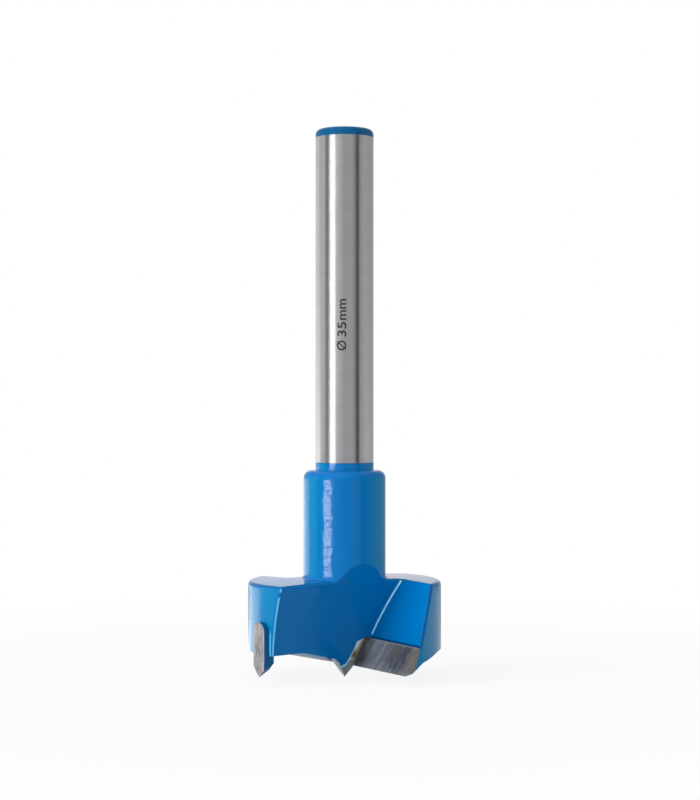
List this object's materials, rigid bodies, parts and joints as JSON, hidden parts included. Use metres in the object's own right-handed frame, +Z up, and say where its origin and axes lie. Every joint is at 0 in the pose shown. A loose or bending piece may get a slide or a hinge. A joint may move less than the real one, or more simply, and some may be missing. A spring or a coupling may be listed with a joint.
{
  "type": "wood boring bit",
  "caption": "Hinge-boring bit for wood: a plain round shank, a collar and a wide two-wing head with carbide cutter plates, rim spurs and a centre point.",
  "frame": {"origin": "tip of the centre point, on the bit's axis", "axes": "+Z up the bit's axis from the centre point to the end of the shank; -Y is the front, where one chip gullet opens"},
  "size_m": [0.033, 0.025, 0.094],
  "materials": {
    "painted_steel": "gloss blue paint on the head and collar, ground bare steel on the shank",
    "carbide": "ground",
    "spur_carbide": "ground",
    "braze": "satin"
  },
  "bodies": {
    "root": {"body": "painted_steel", "cutter_plate_1": "carbide", "cutter_plate_2": "carbide", "spur_1": "spur_carbide", "spur_2": "spur_carbide", "plate_braze_1": "braze", "plate_braze_2": "braze", "spur_braze_1": "braze", "spur_braze_2": "braze"}
  },
  "joints": []
}
